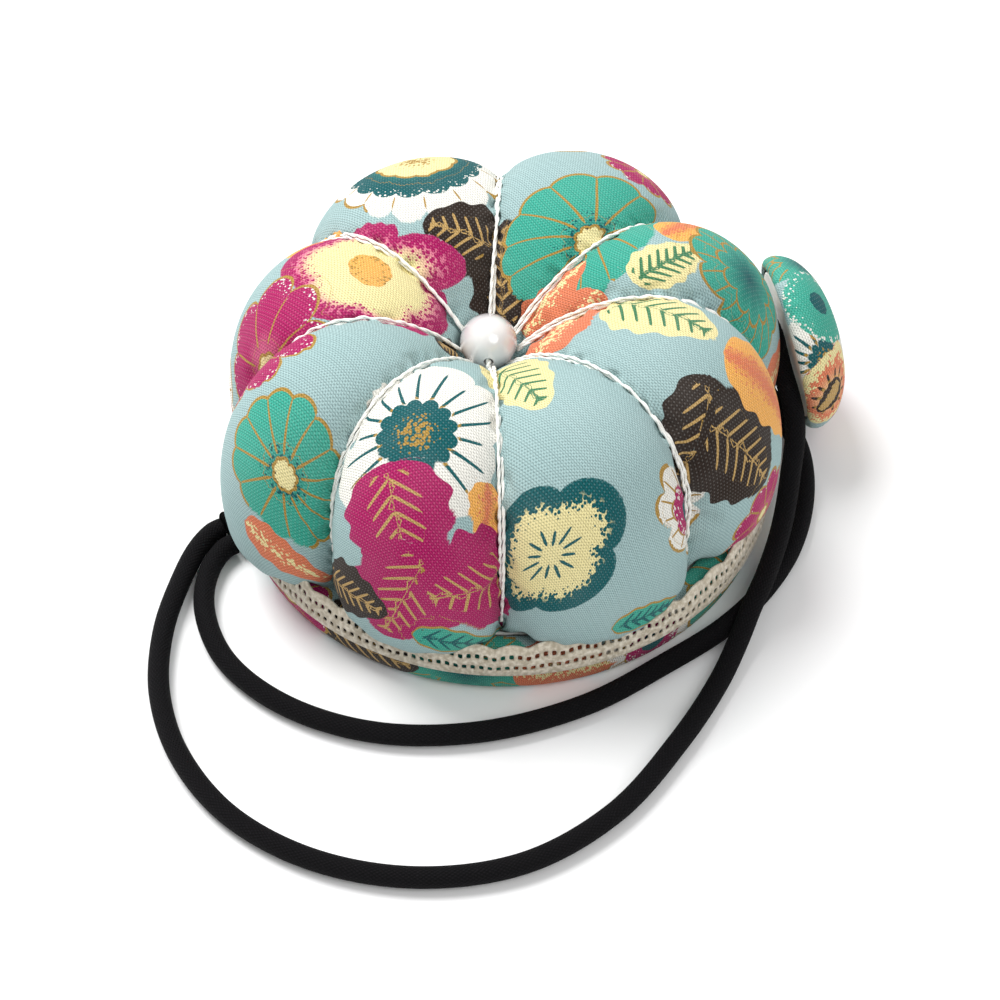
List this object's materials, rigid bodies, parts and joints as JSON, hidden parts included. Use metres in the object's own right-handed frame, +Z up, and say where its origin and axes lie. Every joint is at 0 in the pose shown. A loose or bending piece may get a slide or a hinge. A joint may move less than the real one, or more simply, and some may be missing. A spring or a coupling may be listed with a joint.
{
  "type": "wrist pin cushion",
  "caption": "Pumpkin-shaped stuffed pin cushion in printed cotton, thread-divided lobes, pearl bead, lace-edged covered base, elastic wrist loop and covered button.",
  "frame": {"origin": "centre of the base's flat underside", "axes": "+Z up through the cushion; -Y is the front, where the elastic loop lies; +X towards the covered button's side"},
  "size_m": [0.0993, 0.1106, 0.0408],
  "materials": {
    "printed_cotton": "woven cotton with a large floral print, matt",
    "stuffing": "loose white fibre, matt",
    "card_board": "grey board, matt",
    "sewing_thread": "white twisted thread, slight sheen",
    "pearl": "pearlescent coating, glossy",
    "cotton_lace": "ecru crocheted cotton lace, matt",
    "black_elastic": "braided round elastic, black, matt",
    "button_plastic": "moulded, matt",
    "steel_wire": "drawn wire"
  },
  "bodies": {
    "root": {"cushion_cover": "printed_cotton", "base_cover": "printed_cotton", "cushion_filling": "stuffing", "base_wadding": "stuffing", "base_underlay": "stuffing", "base_board": "card_board", "gather_thread": "sewing_thread", "core_knot": "sewing_thread", "core_thread": "sewing_thread", "bead_thread": "sewing_thread", "lace_trim": "cotton_lace", "elastic_tab": "black_elastic", "elastic_cord": "black_elastic", "lobe_thread_1": "sewing_thread", "lobe_thread_2": "sewing_thread", "lobe_thread_3": "sewing_thread", "lobe_thread_4": "sewing_thread", "lobe_thread_5": "sewing_thread", "lobe_thread_6": "sewing_thread", "lobe_thread_7": "sewing_thread", "lobe_thread_8": "sewing_thread"},
    "bead": {"pearl_bead": "pearl"},
    "stem": {"button_stem_thread": "sewing_thread"},
    "button": {"button_cover": "printed_cotton", "button_shell": "button_plastic", "button_back": "button_plastic", "button_shank": "steel_wire"}
  },
  "joints": [
    {"name": "bead_turn", "type": "hinge", "parent": "root", "child": "bead", "pos_m": [-0.002, 0, 0.031], "axis": [0, 1, 0], "continuous": true},
    {"name": "stem_sway", "type": "hinge", "parent": "root", "child": "stem", "pos_m": [0.03607, 0.01457, 0.01358], "axis": [0.3746, -0.9272, 0], "range_deg": [-3.5, 2]},
    {"name": "button_turn", "type": "hinge", "parent": "stem", "child": "button", "pos_m": [0.04129, 0.01624, 0.014], "axis": [0.9633, 0.2048, 0.1736], "range_deg": [-30, 30]}
  ]
}
